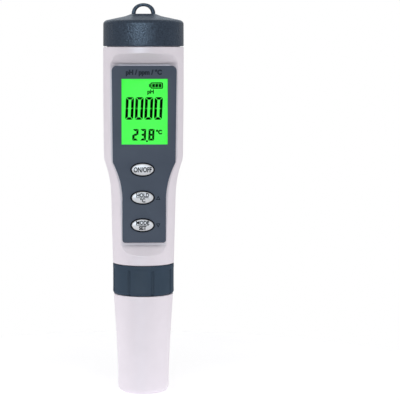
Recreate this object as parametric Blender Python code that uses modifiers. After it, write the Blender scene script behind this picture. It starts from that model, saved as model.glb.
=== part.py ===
"""Pocket water tester: pH, TDS and temperature pen with a screw-on battery cap.

Millimetres are used throughout and scaled to metres where a mesh is made. +Z is up, the keypad
panel faces -Y, and the origin is the centre of the flat foot of the protective cap.
"""
import math

import bmesh
import bpy
from mathutils import Matrix, Vector

MM = 0.001
GAP = 0.3                     # clearance between neighbouring pieces

# Heights of the outer pieces, from the foot up.
CAP_TOP = 46.65               # protective cap meets the collar
COLLAR_BOTTOM = 46.95
COLLAR_TOP = 60.95
BODY_BOTTOM = 61.25
WAIST_LOW = 92.0              # the grip narrows between these two heights
WAIST_HIGH = 110.4
BODY_TOP = 162.8
LID_BOTTOM = 163.1
LID_SHOULDER = 173.35
LID_CREST = 178.15
LID_CORNER = (2.56, 2.03)     # half width and height of the oval that rounds the shoulder
LOOP_TOP = 183.15
LOOP_BASE = 178.1             # the cord loop's arch springs from here
LOOP_FOOT = 176.3
LOOP_HALF = 5.6
LOOP_BAR = 1.5
LOOP_LEG = 2.0
LOOP_HALF_DEPTH = 1.6

# Radii of the outer pieces.
BODY_R_TOP = 18.85
BODY_R_HEAD = 18.6            # where the head meets the waist
BODY_R_BOTTOM = 14.4
BODY_R_GRIP = 15.15           # at WAIST_LOW
LID_R = 18.8
COLLAR_R = 14.4
CAP_R = 14.05
CAP_BORE_R = 11.35
FOOT_R = 9.8                  # centre of the foot's rounded edge
CAP_R_LOW = 12.05             # where the foot's rounding begins
WALL = 2.0
ROUND = 36                    # sides of the large turned pieces

# Flat face of the body and the plate on it.
FACE_Y = -10.2
PLATE_BACK_Y = -10.5
PLATE_FRONT_Y = -11.9
FACE_TOP = 154.8
FACE_BOTTOM = 70.6
PLATE_TOP = 154.1
PLATE_BOTTOM = 71.85
PLATE_HALF_TOP = 15.05
PLATE_HALF_HEAD = 14.6
PLATE_HALF_GRIP = 10.15
PLATE_SHOULDER = 109.4
WINDOW_X = 0.2
WINDOW_HALF = 10.7
WINDOW_BOTTOM = 117.65
WINDOW_TOP = 148.05
KEY_X = -0.74
KEY_HEIGHTS = {"power": 106.0, "hold": 92.95, "mode": 80.05}
KEY_HALF = 5.0
KEY_HALF_HEIGHT = 2.65
KEY_FRONT_Y = -12.5
KEY_HOLE_GAP = 0.35
INNER_FACE_Y = FACE_Y + WALL
KEY_BACK_Y = INNER_FACE_Y + 1.0

# Threads are plain cylinders with running clearance.
NECK_R = 17.0
NECK_BORE_R = 15.2
NECK_BORE_START = 161.6       # the flat face's wall ends here, inside
NECK_TOP = 171.0
LID_BORE_R = 17.35
TAIL_R = 12.9
TAIL_BORE_R = 10.9
TAIL_BOTTOM = 51.4
TAIL_FLOOR = 63.6
COLLAR_BORE_R = 13.25
COLLAR_LIP_R = 11.25
COLLAR_LIP_TOP = 49.0

# Electrical parts.
BOARD_FRONT_Y = -4.3
BOARD_BACK_Y = -2.7
CELL_R = 5.8
CELL_HEIGHT = 5.4
CELL_BOTTOM = 154.6
DECK_TOP = 152.3
SKIRT_R = 10.9
SKIRT_BOTTOM = 9.0
BOARD_SCREWS = [(-11.6, 111.4), (11.6, 111.4), (-6.2, 71.5), (6.2, 71.5)]
SENSOR_TOP = 51.5
SENSORS = {                   # place (x, y) and radius
    "ph": (-3.2, 0.0, 3.0),
    "reference": (3.4, 3.8, 1.2),
    "tds_1": (5.0, -1.2, 0.9),
    "tds_2": (2.6, -4.6, 0.9),
    "temperature": (-1.2, 6.0, 1.4),
}

# Ramps that join the flat face to the round body: how far forward and how far along Z.
TOP_RAMP = (9.2, 5.5)
LOW_RAMP = (5.0, -4.3)

# Finger grooves of the collar.
GROOVES = 8
GROOVE_START = -74.5          # degrees from +X
GROOVE_FLOOR_R = 13.85
GROOVE_TOP = 59.2


# ---------------------------------------------------------------- scene and materials

def clear_scene():
    for leftover in list(bpy.data.objects):
        bpy.data.objects.remove(leftover, do_unlink=True)


def make_collection(name):
    collection = bpy.data.collections.new(name)
    bpy.context.scene.collection.children.link(collection)
    return collection


def make_material(name, colour, roughness, metallic=0.0, alpha=1.0):
    material = bpy.data.materials.new(name)
    material.use_nodes = True
    shader = material.node_tree.nodes["Principled BSDF"]
    shader.inputs["Base Color"].default_value = (*colour, 1.0)
    shader.inputs["Roughness"].default_value = roughness
    shader.inputs["Metallic"].default_value = metallic
    shader.inputs["Alpha"].default_value = alpha
    return material


# ---------------------------------------------------------------- shape tools

def add_object(name, mesh, material, location=(0, 0, 0)):
    piece = bpy.data.objects.new(name, mesh)
    piece.location = Vector(location) * MM
    if material is None:
        CUTTERS.objects.link(piece)
        piece.hide_render = True
        piece.display_type = "WIRE"
    else:
        PARTS.objects.link(piece)
        mesh.materials.append(material)
    return piece


def mesh_from(build, name):
    """A mesh made by running build() on an empty bmesh, in millimetres."""
    shape = bmesh.new()
    build(shape)
    bmesh.ops.scale(shape, vec=(MM, MM, MM), verts=shape.verts)
    mesh = bpy.data.meshes.new(name)
    shape.to_mesh(mesh)
    shape.free()
    return mesh


def smooth(piece, degrees=35):
    piece.data.shade_smooth()
    piece.data.set_sharp_from_angle(angle=math.radians(degrees))
    return piece


def box(name, low, high, material, location=(0, 0, 0)):
    """A box between two corners given relative to location."""
    size = [b - a for a, b in zip(low, high)]
    middle = [(a + b) / 2 for a, b in zip(low, high)]

    def build(shape):
        placed = Matrix.Translation(middle) @ Matrix.Diagonal((*size, 1))
        bmesh.ops.create_cube(shape, size=1, matrix=placed)

    return add_object(name, mesh_from(build, name), material, location)


def turned(name, profile, material, segments=32, location=(0, 0, 0), closed=False):
    """A profile of (radius, height) points, top to bottom on its outside, turned about Z."""
    mesh = bpy.data.meshes.new(name)
    points = [(radius * MM, 0, height * MM) for radius, height in profile]
    edges = [(i, i + 1) for i in range(len(points) - 1)]
    if closed:
        edges.append((len(points) - 1, 0))
    mesh.from_pydata(points, edges, [])
    piece = add_object(name, mesh, material, location)
    screw = piece.modifiers.new("Turn", "SCREW")
    screw.steps = segments
    screw.render_steps = segments
    screw.use_merge_vertices = True
    screw.merge_threshold = 0.000001
    screw.use_smooth_shade = True
    return piece


def rod(name, radius, low, high, material, axis="Z", segments=16, location=(0, 0, 0)):
    """A plain cylinder from low to high along an axis through location."""
    def build(shape):
        turn = {"Z": Matrix(), "Y": Matrix.Rotation(math.radians(90), 4, "X")}[axis]
        middle = (low + high) / 2
        shift = Matrix.Translation((0, 0, middle) if axis == "Z" else (0, middle, 0))
        bmesh.ops.create_cone(shape, cap_ends=True, segments=segments, radius1=radius,
                              radius2=radius, depth=high - low, matrix=shift @ turn)

    return smooth(add_object(name, mesh_from(build, name), material, location))


def slab(name, outlines, back_y, front_y, material, location=(0, 0, 0)):
    """Flat outlines of (x, z) points, the later ones holes, extruded between two Y planes."""
    curve = bpy.data.curves.new(name, "CURVE")
    curve.dimensions = "2D"
    curve.fill_mode = "BOTH"
    curve.extrude = abs(back_y - front_y) / 2 * MM
    for outline in outlines:
        spline = curve.splines.new("POLY")
        spline.points.add(len(outline) - 1)
        for point, (x, z) in zip(spline.points, outline):
            point.co = (x * MM, z * MM, 0, 1)
        spline.use_cyclic_u = True
    drawn = bpy.data.objects.new(name + "_outline", curve)
    drawn.matrix_world = Matrix.Translation((0, (back_y + front_y) / 2 * MM, 0)) @ \
        Matrix.Rotation(math.radians(90), 4, "X")
    CUTTERS.objects.link(drawn)
    bpy.context.view_layer.update()
    evaluated = drawn.evaluated_get(bpy.context.evaluated_depsgraph_get())
    mesh = bpy.data.meshes.new_from_object(evaluated)
    mesh.transform(drawn.matrix_world)
    welded = bmesh.new()
    welded.from_mesh(mesh)
    bmesh.ops.remove_doubles(welded, verts=welded.verts, dist=0.000001)
    bmesh.ops.recalc_face_normals(welded, faces=welded.faces)
    welded.to_mesh(mesh)
    welded.free()
    bpy.data.objects.remove(drawn, do_unlink=True)
    mesh.name = name
    return add_object(name, mesh, material, location)


def combine(piece, others, operation="DIFFERENCE"):
    """Cut others from a piece, or join them to it; each stays as a hidden guide."""
    for other in others:
        step = piece.modifiers.new(other.name, "BOOLEAN")
        step.operation = operation
        step.object = other
    return piece


def soften(piece, width, segments=2, angle=40):
    bevel = piece.modifiers.new("Soften", "BEVEL")
    bevel.width = width * MM
    bevel.segments = segments
    bevel.limit_method = "ANGLE"
    bevel.angle_limit = math.radians(angle)
    return piece


def arch(half_width, foot, base, top, points=14):
    """Outline of a half oval standing on two straight legs."""
    turns = [math.pi * i / points for i in range(points + 1)]
    bow = [(half_width * math.cos(a), base + (top - base) * math.sin(a)) for a in turns]
    return [(half_width, foot), *bow, (-half_width, foot)]


def oval(half_width, half_height, x=0.0, z=0.0, points=28):
    turns = [2 * math.pi * i / points for i in range(points)]
    return [(x + half_width * math.cos(a), z + half_height * math.sin(a)) for a in turns]


def rounded_box(left, right, bottom, top, radius, steps=4):
    """Outline of a rectangle with quarter-circle corners."""
    corners = [(right - radius, top - radius, 0), (left + radius, top - radius, 90),
               (left + radius, bottom + radius, 180), (right - radius, bottom + radius, 270)]
    outline = []
    for x, z, start in corners:
        for i in range(steps + 1):
            a = math.radians(start + 90 * i / steps)
            outline.append((x + radius * math.cos(a), z + radius * math.sin(a)))
    return outline


def arc(centre_r, centre_z, radius_r, radius_z, start, end, steps):
    """Points on an elliptical arc of a turned profile, angles in degrees from +R."""
    points = []
    for i in range(steps + 1):
        a = math.radians(start + (end - start) * i / steps)
        points.append((centre_r + radius_r * math.cos(a), centre_z + radius_z * math.sin(a)))
    return points


def ring(name, major, minor, height, material):
    """An O-ring lying flat at a height."""
    profile = arc(major, height, minor, minor, 90, -270, 6)[:-1]
    return turned(name, profile, material, 28, closed=True)


# ---------------------------------------------------------------- body shape

def body_radius(height):
    """Outer radius of the housing: a tapered grip that widens into the head in one sweep."""
    grip = BODY_R_BOTTOM + (BODY_R_GRIP - BODY_R_BOTTOM) * (height - BODY_BOTTOM) / (
        WAIST_LOW - BODY_BOTTOM)
    if height <= WAIST_LOW:
        return grip
    head = BODY_R_HEAD + (BODY_R_TOP - BODY_R_HEAD) * min(1, (height - WAIST_HIGH) / 25)
    if height >= WAIST_HIGH:
        return head
    sweep = (height - WAIST_LOW) / (WAIST_HIGH - WAIST_LOW)
    return grip + (BODY_R_HEAD - grip) * sweep ** 2.4


def cove(start, depth, rise, steps=7):
    """Points (y, z) of the curved ramp that runs from the flat face out to the round body."""
    y, z = start
    points = []
    for i in range(steps + 1):
        t = i / steps
        points.append((y - depth * t, z + rise * (1 - (1 - t) ** 1.6) ** (1 / 1.6)))
    return points


def face_cutter():
    """Everything in front of the flat face, with a curved ramp at its top and bottom."""
    top_ramp = cove((FACE_Y, FACE_TOP), *TOP_RAMP)
    low_ramp = cove((FACE_Y, FACE_BOTTOM), *LOW_RAMP)
    side = [*low_ramp[::-1], *top_ramp, (-30, top_ramp[-1][1]), (-30, low_ramp[-1][1])]

    def build(shape):
        near = [shape.verts.new((-25, y, z)) for y, z in side]
        face = shape.faces.new(near)
        grown = bmesh.ops.extrude_face_region(shape, geom=[face])
        moved = [v for v in grown["geom"] if isinstance(v, bmesh.types.BMVert)]
        bmesh.ops.translate(shape, vec=(50, 0, 0), verts=moved)
        bmesh.ops.recalc_face_normals(shape, faces=shape.faces)

    return add_object("cut_face", mesh_from(build, "cut_face"), None)


def cavity_cutter():
    """Neck bore and room for the electronics, with the front of the room sliced flat."""
    heights = [158.5, 135, WAIST_HIGH, 106, 102, 98, WAIST_LOW, TAIL_FLOOR]
    profile = [(0, 175.0), (NECK_BORE_R, 175.0), (NECK_BORE_R, 160.6)]
    profile += [(body_radius(z) - WALL, z) for z in heights]
    profile += [(0, TAIL_FLOOR)]
    cavity = turned("cut_cavity", profile, None, ROUND)
    front = box("cut_cavity_front", (-30, -40, 50), (30, INNER_FACE_Y, NECK_BORE_START), None)
    return combine(cavity, [front])


def make_body(material):
    waist = [WAIST_HIGH - 2.6 * i for i in range(7)]
    heights = [BODY_TOP - 0.6, 135, *waist, 80, BODY_BOTTOM + 0.5]
    profile = [(0, NECK_TOP), (NECK_R - 0.6, NECK_TOP), (NECK_R, NECK_TOP - 0.6)]
    profile += [(NECK_R, 165.1), (16.0, 165.1), (16.0, 163.3), (NECK_R, 163.3)]
    profile += [(NECK_R, BODY_TOP), (BODY_R_TOP - 0.5, BODY_TOP)]
    profile += [(body_radius(z), z) for z in heights]
    profile += [(BODY_R_BOTTOM - 0.5, BODY_BOTTOM), (TAIL_R, BODY_BOTTOM)]
    profile += [(TAIL_R, TAIL_BOTTOM + 0.4), (TAIL_R - 0.4, TAIL_BOTTOM), (0, TAIL_BOTTOM)]
    body = turned("body_shell", profile, material, ROUND)
    cutters = [face_cutter(), cavity_cutter()]
    cutters.append(rod("cut_tail_bore", TAIL_BORE_R, 45.0, 64.0, None, segments=ROUND))
    cutters.append(box("cut_window", (WINDOW_X - WINDOW_HALF, -15, WINDOW_BOTTOM),
                       (WINDOW_X + WINDOW_HALF, -6, WINDOW_TOP), None))
    for key, height in KEY_HEIGHTS.items():
        hole = oval(KEY_HALF + KEY_HOLE_GAP, KEY_HALF_HEIGHT + KEY_HOLE_GAP, KEY_X, height)
        cutters.append(slab("cut_key_" + key, [hole], -6, -15, None))
    return combine(body, cutters)


# ---------------------------------------------------------------- panel, display and keys

def plate_outline(inset=0.0):
    """Right half from the top down the side, then mirrored: wide head, waisted grip."""
    top, bottom = PLATE_TOP - inset, PLATE_BOTTOM + inset
    right = []
    for i in range(5):
        a = math.radians(90 - 90 * i / 4)
        right.append((PLATE_HALF_TOP - inset - 2.2 + 2.2 * math.cos(a),
                      top - 2.2 + 2.2 * math.sin(a)))
    right.append((PLATE_HALF_HEAD - inset, PLATE_SHOULDER + 0.6))
    for i in range(1, 9):
        t = i / 8
        widen = (PLATE_HALF_HEAD - PLATE_HALF_GRIP) * (1 - t) ** 2
        right.append((PLATE_HALF_GRIP - inset + widen, PLATE_SHOULDER - 17.4 * t))
    for i in range(4):
        a = math.radians(-90 * i / 3)
        right.append((PLATE_HALF_GRIP - inset - 1.2 + 1.2 * math.cos(a),
                      bottom + 1.2 + 1.2 * math.sin(a)))
    return right + [(-x, z) for x, z in reversed(right)]


def make_panel(plate_material, lens_material):
    left, right = WINDOW_X - WINDOW_HALF, WINDOW_X + WINDOW_HALF
    holes = [rounded_box(left, right, WINDOW_BOTTOM, WINDOW_TOP, 0.5, 2)]
    for height in KEY_HEIGHTS.values():
        holes.append(oval(KEY_HALF + KEY_HOLE_GAP, KEY_HALF_HEIGHT + KEY_HOLE_GAP, KEY_X, height))
    slab("front_panel", [plate_outline(), *holes], PLATE_BACK_Y, PLATE_FRONT_Y, plate_material)
    lens = rounded_box(left + GAP, right - GAP, WINDOW_BOTTOM + GAP, WINDOW_TOP - GAP, 0.3, 2)
    slab("display_window", [lens], PLATE_BACK_Y + 0.2, PLATE_FRONT_Y + 0.3, lens_material)


def make_display(frame_material, glass_material, light_material, rubber_material):
    outside = rounded_box(-12.7, 12.7, 114.2, 150.5, 0.6, 2)
    inside = rounded_box(-12.1, 12.1, 115.8, 149.8, 0.3, 2)
    slab("lcd_frame", [outside, inside], BOARD_FRONT_Y - 0.3, INNER_FACE_Y + 0.3, frame_material)
    box("lcd_glass", (-11.8, -7.7, 116.1), (11.8, -5.9, 149.5), glass_material)
    box("backlight_panel", (-11.8, -5.6, 119.4), (11.8, -4.7, 149.5), light_material)
    box("zebra_strip", (-11.0, -5.6, 116.6), (11.0, -4.6, 119.1), rubber_material)


def make_key(name, height, key_material, metal_material, switch_material):
    """A key pokes out through the panel; its wider heel stays behind the body's wall."""
    spot = (KEY_X, 0, height)
    key = slab(name + "_key", [oval(KEY_HALF, KEY_HALF_HEIGHT, points=24)], KEY_BACK_Y - 0.2,
               KEY_FRONT_Y, key_material, spot)
    soften(key, 0.35, 2, 60)
    heel = slab("join_heel_" + name, [oval(KEY_HALF + 1.0, KEY_HALF_HEIGHT + 0.9, points=24)],
                KEY_BACK_Y, INNER_FACE_Y + GAP, None, spot)
    combine(key, [heel], "UNION")
    rod(name + "_plunger", 1.4, KEY_BACK_Y + GAP, -5.6, switch_material, "Y", 12, spot)
    switch = box(name + "_switch", (-2.9, -6.4, -2.4), (2.9, BOARD_FRONT_Y - GAP, 2.4),
                 metal_material, spot)
    well = rod("cut_well_" + name, 1.7, -7.0, -4.9, None, "Y", 16, spot)
    return combine(switch, [well])


# ---------------------------------------------------------------- board and chassis

def board_outline():
    right = [(12.6, 150.2), (13.6, 148.5), (13.6, 109.0), (9.4, 101.0), (9.4, 69.8), (8.6, 69.0)]
    return right + [(-x, z) for x, z in reversed(right)]


def make_board(board_material, chip_material, can_material):
    holes = [oval(1.1, 1.1, x, z, 12) for x, z in BOARD_SCREWS]
    slab("main_board", [board_outline(), *holes], BOARD_BACK_Y, BOARD_FRONT_Y, board_material)
    soften(box("microcontroller", (-5, BOARD_BACK_Y + GAP, 122), (5, -0.9, 132), chip_material),
           0.3, 1)
    soften(box("amplifier_chip", (-2.5, BOARD_BACK_Y + GAP, 86), (2.5, -1.1, 90), chip_material),
           0.25, 1)
    soften(box("crystal_can", (-3.5, BOARD_BACK_Y + GAP, 136), (3.5, -0.8, 139), can_material),
           0.8, 2, 30)


def make_chassis(material):
    """A sled behind the board with four screw posts and a round deck for the battery holder."""
    right = [(12.6, 151.5), (12.6, 109.5), (8.6, 101.0), (8.6, 69.0)]
    outline = right + [(-x, z) for x, z in reversed(right)]
    chassis = slab("inner_chassis", [outline], 2.2, 0.4, material)
    deck = rod("join_deck", 14.9, 150.8, DECK_TOP, None, segments=40)
    posts = [rod("join_post_%d" % i, 2.0, BOARD_BACK_Y + GAP, 1.0, None, "Y", 16, (x, 0, z))
             for i, (x, z) in enumerate(BOARD_SCREWS)]
    combine(chassis, [deck, *posts], "UNION")
    holes = [rod("cut_post_%d" % i, 1.1, -3.0, 1.4, None, "Y", 12, (x, 0, z))
             for i, (x, z) in enumerate(BOARD_SCREWS)]
    deck_front = box("cut_deck_front", (-20, -20, 150), (20, INNER_FACE_Y + GAP, 154), None)
    return combine(chassis, [*holes, deck_front])


def make_board_screws(material):
    for i, (x, z) in enumerate(BOARD_SCREWS):
        profile = [(0, 0.9), (1.2, 0.9), (1.5, 0.6), (1.5, 0.0), (0.75, 0.0), (0.75, -4.2),
                   (0.4, -4.8), (0, -4.8)]
        screw = turned("board_screw_%d" % (i + 1), profile, material, 12,
                       (x, BOARD_FRONT_Y - GAP, z))
        screw.rotation_euler = (math.radians(90), 0, 0)


def make_battery(holder_material, contact_material, cell_material):
    profile = [(0, DECK_TOP + 1.4), (6.1, DECK_TOP + 1.4), (6.1, 168.5), (7.4, 168.5),
               (7.4, DECK_TOP + GAP), (0, DECK_TOP + GAP)]
    turned("battery_holder", profile, holder_material, 32)
    rod("lower_contact", 5.4, DECK_TOP + 1.7, CELL_BOTTOM - 0.25, contact_material, segments=24)
    for i in range(3):
        low = CELL_BOTTOM + i * (CELL_HEIGHT + GAP)
        high = low + CELL_HEIGHT
        cell = [(0, high), (CELL_R - 0.3, high), (CELL_R, high - 0.3), (CELL_R, low + 1.2),
                (CELL_R - 0.7, low + 0.9), (CELL_R - 0.7, low), (0, low)]
        turned("battery_cell_%d" % (i + 1), cell, cell_material, 24)


# ---------------------------------------------------------------- battery cap

def make_battery_cap(material):
    """Screw cap with a shallow conical crown; the cord loop is moulded on top of it."""
    wide, tall = LID_CORNER
    turns = [math.radians(15 + 75 * i / 6) for i in range(7)]
    shoulder = [(LID_R - wide + wide * math.sin(a), LID_SHOULDER + tall * math.cos(a))
                for a in turns]
    crown = [(0, LID_CREST), (5.4, LID_CREST - 0.05), (6.6, 177.65), (8.2, 177.17)]
    profile = crown + shoulder + [(LID_R + 0.05, LID_BOTTOM + 0.4), (LID_R - 0.25, LID_BOTTOM)]
    profile += [(LID_BORE_R, LID_BOTTOM), (LID_BORE_R, 171.8), (10.0, 175.3), (0, 175.3)]
    cap = turned("battery_cap", profile, material, ROUND)
    outside = arch(LOOP_HALF, LOOP_FOOT, LOOP_BASE, LOOP_TOP)
    eye = arch(LOOP_HALF - LOOP_LEG, LOOP_FOOT + 1, LOOP_BASE, LOOP_TOP - LOOP_BAR, 10)
    loop = slab("join_loop", [outside, eye], LOOP_HALF_DEPTH, -LOOP_HALF_DEPTH, None)
    return combine(cap, [loop], "UNION")


def make_cap_contact(plate_material, spring_material):
    rod("cap_contact_plate", 7.0, 171.7, 172.2, plate_material, segments=24)
    turns, steps = 3, 12
    curve = bpy.data.curves.new("cap_spring", "CURVE")
    curve.dimensions = "3D"
    curve.bevel_depth = 0.3 * MM
    curve.bevel_resolution = 1
    curve.use_fill_caps = True
    spline = curve.splines.new("POLY")
    spline.points.add(turns * steps)
    for i, point in enumerate(spline.points):
        share = i / (turns * steps)
        a = 2 * math.pi * i / steps
        reach = 5.4 - 1.8 * share
        place = (reach * math.cos(a), reach * math.sin(a), 172.85 + 1.8 * share)
        point.co = (*(v * MM for v in place), 1)
    spring = bpy.data.objects.new("cap_spring", curve)
    curve.materials.append(spring_material)
    PARTS.objects.link(spring)


# ---------------------------------------------------------------- electrode module

def make_electrode_holder(material):
    """Spigot into the body, flange under the collar's lip, and an open guard skirt below."""
    profile = [(0, 60.5), (10.1, 60.5), (10.6, 60.0), (10.6, 57.0), (9.3, 57.0), (9.3, 55.2),
               (10.6, 55.2), (10.6, 51.1), (12.7, 51.1), (12.7, 49.3), (SKIRT_R, 49.3),
               (SKIRT_R, 43.2), (9.8, 43.2), (9.8, 41.6), (SKIRT_R, 41.6),
               (SKIRT_R, SKIRT_BOTTOM + 0.5), (SKIRT_R - 0.5, SKIRT_BOTTOM),
               (9.3, SKIRT_BOTTOM), (9.3, 34.0), (0, 34.0)]
    holder = turned("electrode_holder", profile, material, 32)
    slots = [box("cut_slot_x", (-20, -2.5, 14), (20, 2.5, 28), None),
             box("cut_slot_y", (-2.5, -20, 14), (2.5, 20, 28), None)]
    bores = [rod("cut_bore_" + name, radius + GAP, 30, 52, None, location=(x, y, 0))
             for name, (x, y, radius) in SENSORS.items()]
    pocket = rod("cut_plug_pocket", 6.6, 58.4, 62, None, segments=24)
    return combine(holder, [*slots, *bores, pocket])


def make_sensors(glass_material, ceramic_material, metal_material, steel_material):
    x, y, radius = SENSORS["ph"]
    bulb = arc(0, 16.6, 3.6, 3.4, 60, -90, 8)
    turned("ph_electrode", [(0, SENSOR_TOP), (radius, SENSOR_TOP), (radius, 20.5), *bulb], glass_material, 20,
           (x, y, 0))
    tips = {"reference": ("reference_junction", 24.0, ceramic_material),
            "tds_1": ("tds_pin_1", 15.0, metal_material),
            "tds_2": ("tds_pin_2", 15.0, metal_material),
            "temperature": ("temperature_probe", 14.0, steel_material)}
    for key, (name, tip, material) in tips.items():
        x, y, radius = SENSORS[key]
        end = arc(0, tip + radius, radius, radius, 0, -90, 4)
        turned(name, [(0, SENSOR_TOP), (radius, SENSOR_TOP), *end], material, 14, (x, y, 0))


def make_plug(contact_material, socket_material):
    """Five pins on a small base stand in the module and reach up into the fixed socket."""
    places = [(3.8 * math.cos(a), 3.8 * math.sin(a))
              for a in (math.radians(90 + 72 * i) for i in range(5))]
    plug = rod("plug_contacts", 5.8, 58.8, 60.2, contact_material, segments=24)
    pins = [rod("join_pin_%d" % i, 0.5, 59.5, 66.0, None, segments=10, location=(x, y, 0))
            for i, (x, y) in enumerate(places)]
    combine(plug, pins, "UNION")
    socket = rod("electrode_socket", 7.2, 63.9, 68.4, socket_material, segments=28)
    holes = [rod("cut_socket_%d" % i, 0.9, 63.0, 67.0, None, segments=10, location=(x, y, 0))
             for i, (x, y) in enumerate(places)]
    combine(socket, holes)


# ---------------------------------------------------------------- collar and protective cap

def make_collar(material):
    """Ring nut with eight finger grooves down its side."""
    low_edge = arc(COLLAR_R - 1.2, COLLAR_BOTTOM + 1.2, 0.9, 1.2, 0, -90, 3)
    profile = [(COLLAR_R - 0.3, COLLAR_TOP), (COLLAR_R, COLLAR_TOP - 0.4), *low_edge,
               (COLLAR_LIP_R, COLLAR_BOTTOM), (COLLAR_LIP_R, COLLAR_LIP_TOP),
               (COLLAR_BORE_R, COLLAR_LIP_TOP), (COLLAR_BORE_R, COLLAR_TOP)]
    collar = turned("collar", profile, material, ROUND, closed=True)
    grooves = []
    for i in range(GROOVES):
        groove = box("cut_groove_%d" % i, (GROOVE_FLOOR_R, -0.5, COLLAR_BOTTOM - 1),
                     (17, 0.5, GROOVE_TOP), None)
        groove.rotation_euler = (0, 0, math.radians(GROOVE_START + 360 * i / GROOVES))
        grooves.append(groove)
    return combine(collar, grooves)


def cap_radius(height):
    """Outer radius of the protective cap: nearly straight low down, flaring to the collar."""
    return CAP_R_LOW + (CAP_R - CAP_R_LOW) * (max(0, height - 8) / (CAP_TOP - 8)) ** 1.25


def make_protective_cap(material):
    heights = [CAP_TOP - 0.5, 38, 29, 19, 8]
    foot = arc(FOOT_R, 3.0, CAP_R_LOW - FOOT_R, 3.0, 0, -90, 4)
    inside = [(0, 3.0), (10.0, 3.0), (11.0, 4.4), (CAP_BORE_R, CAP_TOP - 0.5)]
    rim = [(CAP_BORE_R + 0.35, CAP_TOP), (CAP_R - 0.5, CAP_TOP)]
    profile = inside + rim + [(cap_radius(z), z) for z in heights] + foot + [(0, 0)]
    return turned("protective_cap", profile, material, ROUND)


# ---------------------------------------------------------------- assembly

def main():
    white = make_material("white_plastic", (0.72, 0.70, 0.74), 0.35)
    slate = make_material("slate_plastic", (0.055, 0.073, 0.100), 0.5)
    plate = make_material("panel_plastic", (0.079, 0.100, 0.138), 0.45)
    key_white = make_material("key_plastic", (0.68, 0.68, 0.70), 0.4)
    lens = make_material("clear_lens", (0.9, 0.95, 0.9), 0.05, alpha=0.2)
    lcd = make_material("lcd_green", (0.08, 0.97, 0.09), 0.3)
    diffuser = make_material("diffuser", (0.85, 0.95, 0.85), 0.5)
    black = make_material("black_plastic", (0.02, 0.02, 0.02), 0.6)
    rubber = make_material("seal_rubber", (0.015, 0.015, 0.015), 0.8)
    board = make_material("board_green", (0.02, 0.13, 0.05), 0.5)
    steel = make_material("steel", (0.6, 0.6, 0.62), 0.3, 1.0)
    gold = make_material("gold_contact", (0.85, 0.6, 0.2), 0.3, 1.0)
    glass = make_material("sensor_glass", (0.8, 0.9, 0.95), 0.05, alpha=0.4)
    ceramic = make_material("white_ceramic", (0.8, 0.78, 0.72), 0.7)
    natural = make_material("natural_plastic", (0.5, 0.5, 0.48), 0.5)

    make_body(white)
    make_panel(plate, lens)
    make_display(black, lcd, diffuser, rubber)
    for name, height in KEY_HEIGHTS.items():
        make_key(name, height, key_white, steel, black)
    make_chassis(natural)
    make_board(board, black, steel)
    make_board_screws(steel)
    make_battery(black, gold, steel)
    ring("neck_seal", 16.65, 0.6, 164.2, rubber)
    make_battery_cap(slate)
    make_cap_contact(gold, steel)
    make_electrode_holder(natural)
    make_sensors(glass, ceramic, gold, steel)
    make_plug(gold, black)
    ring("module_seal", 9.95, 0.6, 56.1, rubber)
    ring("cap_seal", 10.45, 0.55, 42.4, rubber)
    make_collar(slate)
    make_protective_cap(white)


clear_scene()
PARTS = make_collection("ph_test_pen")
CUTTERS = make_collection("cutters")
main()
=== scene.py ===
"""Looks of the pH test pen: smooth shells, panel print, display and sensors around the CAD frame.

Sizes are in millimetres and scaled when a mesh is made. +Z is up and the keypad faces -Y. Places
come from the frame's nodes; what is left is how the visible surfaces are rounded and finished.
"""

import math

import bmesh
import bpy
from mathutils import Matrix, Vector


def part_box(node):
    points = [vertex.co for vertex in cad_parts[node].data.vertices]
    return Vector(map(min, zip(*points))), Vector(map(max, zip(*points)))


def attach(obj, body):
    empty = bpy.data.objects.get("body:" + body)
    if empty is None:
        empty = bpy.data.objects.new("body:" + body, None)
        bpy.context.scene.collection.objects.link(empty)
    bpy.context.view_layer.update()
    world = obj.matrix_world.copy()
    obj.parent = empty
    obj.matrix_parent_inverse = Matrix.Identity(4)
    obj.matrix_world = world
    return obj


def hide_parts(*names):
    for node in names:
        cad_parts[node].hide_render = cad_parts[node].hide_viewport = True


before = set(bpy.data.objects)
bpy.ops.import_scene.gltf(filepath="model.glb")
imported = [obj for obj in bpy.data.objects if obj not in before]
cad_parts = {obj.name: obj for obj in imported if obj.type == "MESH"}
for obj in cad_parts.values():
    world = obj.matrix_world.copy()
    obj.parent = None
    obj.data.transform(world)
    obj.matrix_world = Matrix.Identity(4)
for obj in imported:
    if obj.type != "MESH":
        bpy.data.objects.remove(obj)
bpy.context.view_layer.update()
MM = 0.001
TAU = 2 * math.pi


def span(node):
    """Lowest and highest corner of a CAD node, in millimetres."""
    low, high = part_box(node)
    return low / MM, high / MM


# ---------------------------------------------------------------- sizes read from the frame

BODY_LOW, BODY_HIGH = span("body_shell")
LID_LOW, LID_HIGH = span("battery_cap")
NUT_LOW, NUT_HIGH = span("collar")
COVER_LOW, COVER_HIGH = span("protective_cap")
PLATE_LOW, PLATE_HIGH = span("front_panel")
LENS_LOW, LENS_HIGH = span("display_window")
LCD_LOW, LCD_HIGH = span("lcd_glass")
HOLDER_LOW, HOLDER_HIGH = span("electrode_holder")
KEYS = {name: span(name + "_key") for name in ("power", "hold", "mode")}

GAP = 0.3
BODY_TOP = LID_LOW.z - GAP
BODY_BOTTOM = NUT_HIGH.z + GAP
HEAD_R = BODY_HIGH.x
PLATE_FRONT = PLATE_LOW.y
PLATE_BACK = PLATE_HIGH.y
FACE_Y = PLATE_BACK + GAP     # the flat that the plate is glued to
KEY_X = (KEYS["power"][0].x + KEYS["power"][1].x) / 2
KEY_Z = {name: (low.z + high.z) / 2 for name, (low, high) in KEYS.items()}
KEY_FRONT = {name: low.y for name, (low, high) in KEYS.items()}


# ---------------------------------------------------------------- mesh tools

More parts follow.
